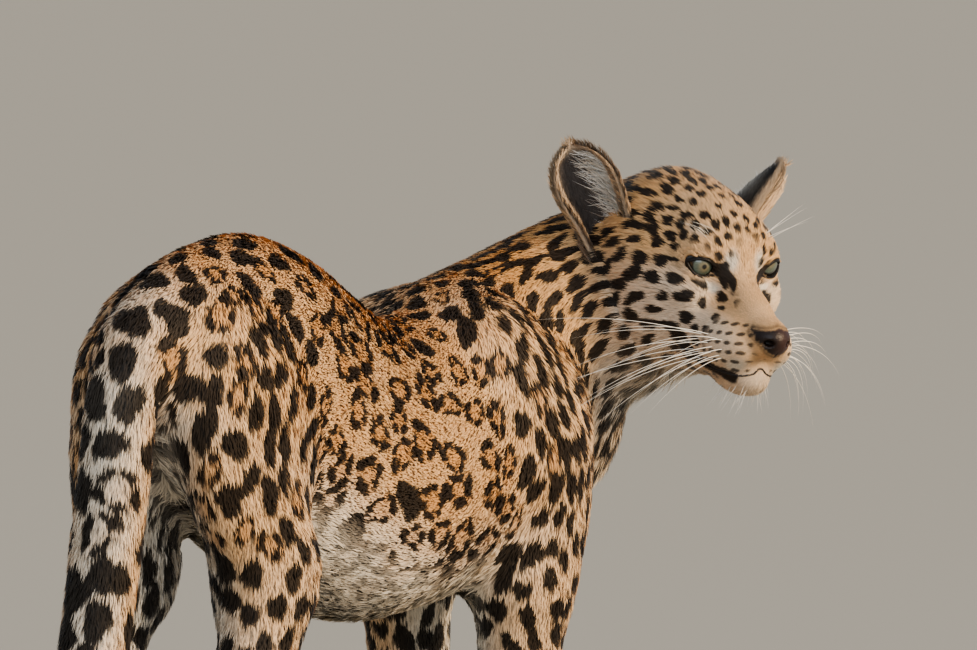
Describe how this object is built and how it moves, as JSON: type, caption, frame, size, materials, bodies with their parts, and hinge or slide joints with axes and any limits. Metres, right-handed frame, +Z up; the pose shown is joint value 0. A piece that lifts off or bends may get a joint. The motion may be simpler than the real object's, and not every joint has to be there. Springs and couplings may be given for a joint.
{
  "type": "leopard",
  "caption": "Life-size leopard standing on four paws and looking back over its right shoulder, with a long hanging tail that curls up at its end",
  "frame": {"origin": "on the floor, under the middle of the model's box", "axes": "+X towards the head end of the body, +Y towards its left side, +Z up"},
  "size_m": [1.193, 0.383, 0.6383],
  "materials": {
    "coat": "short spotted fur",
    "eye": "wet gloss",
    "nose": "moist skin",
    "whisker": "stiff hair"
  },
  "bodies": {
    "root": {"torso": "coat", "neck": "coat", "head": "coat", "ear_left": "coat", "ear_right": "coat", "eye_left": "eye", "eye_right": "eye", "tail_base": "coat", "tail_middle": "coat", "tail_tip": "coat", "foreleg_left": "coat", "foreleg_right": "coat", "forepaw_left": "coat", "forepaw_right": "coat", "thigh_left": "coat", "thigh_right": "coat", "hind_leg_left": "coat", "hind_leg_right": "coat", "hind_paw_left": "coat", "hind_paw_right": "coat"}
  },
  "joints": []
}
